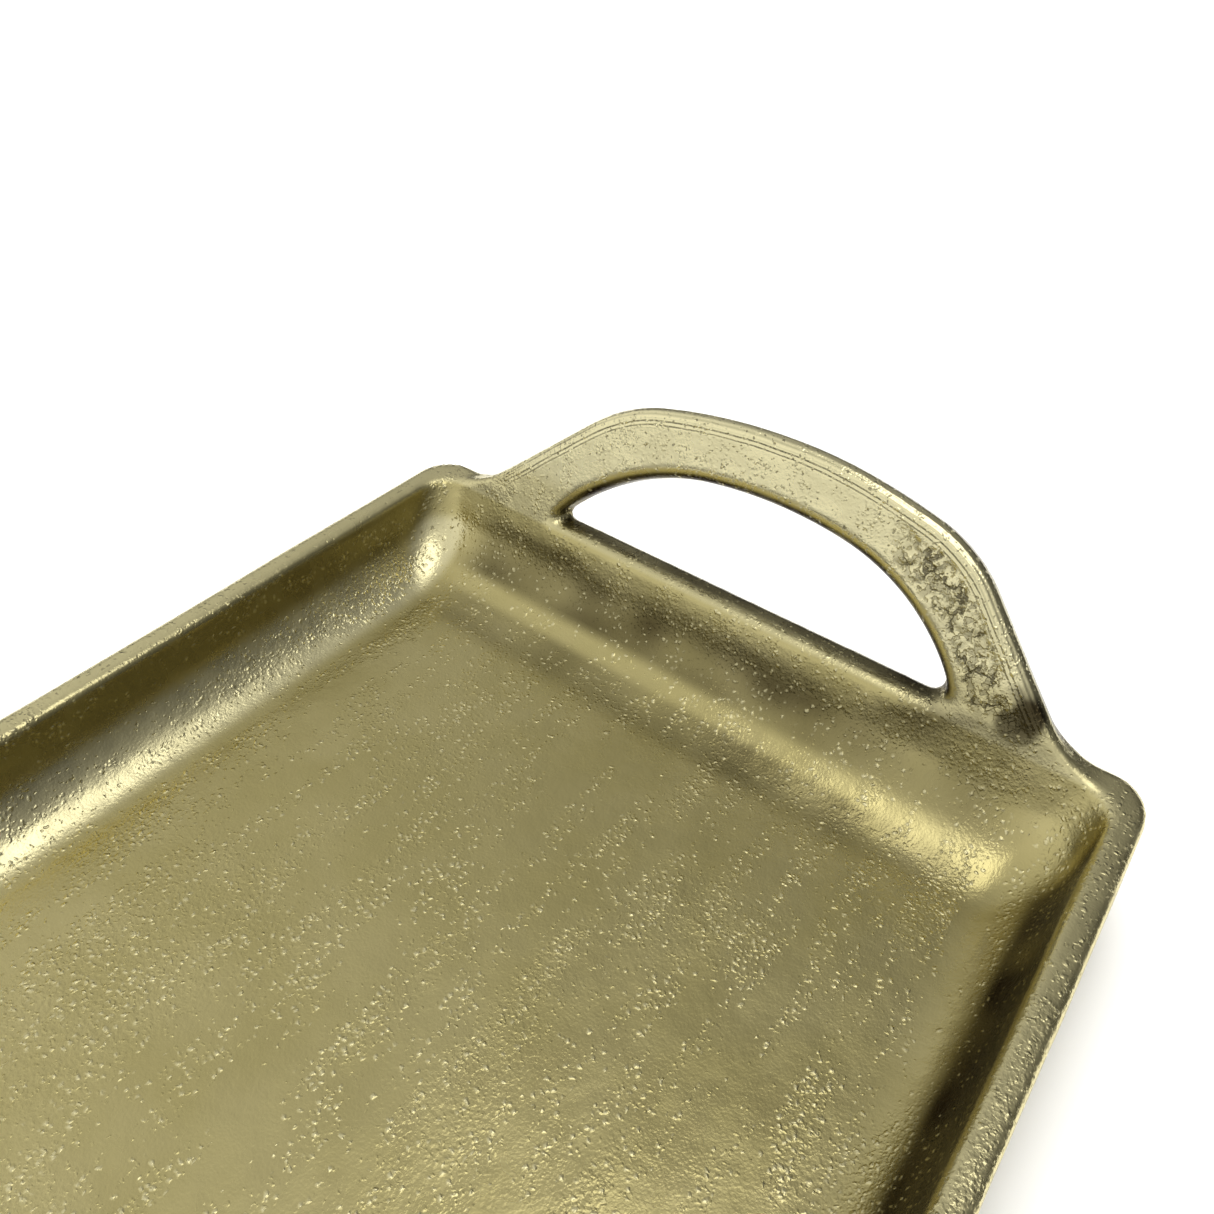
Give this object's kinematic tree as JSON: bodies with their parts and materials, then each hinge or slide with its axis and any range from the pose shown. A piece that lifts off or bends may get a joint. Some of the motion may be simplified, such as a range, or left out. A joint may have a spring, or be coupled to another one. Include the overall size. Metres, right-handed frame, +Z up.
{
  "type": "serving tray",
  "caption": "Rectangular sand-cast brass serving tray with a raised rim and leaning arched handles that carry on from the end walls, resting on felt pads.",
  "frame": {"origin": "on the resting surface, under the middle of the tray", "axes": "+X along the tray from one handle to the other, +Y across it, +Z up"},
  "size_m": [0.4184, 0.1992, 0.0651],
  "materials": {
    "cast_brass": "sand cast, ground and lacquered, satin",
    "felt": "pressed wool felt"
  },
  "bodies": {
    "root": {"tray_pan": "cast_brass", "handle_left": "cast_brass", "handle_right": "cast_brass", "felt_pad_front_left": "felt", "felt_pad_front_right": "felt", "felt_pad_rear_left": "felt", "felt_pad_rear_right": "felt"}
  },
  "joints": []
}
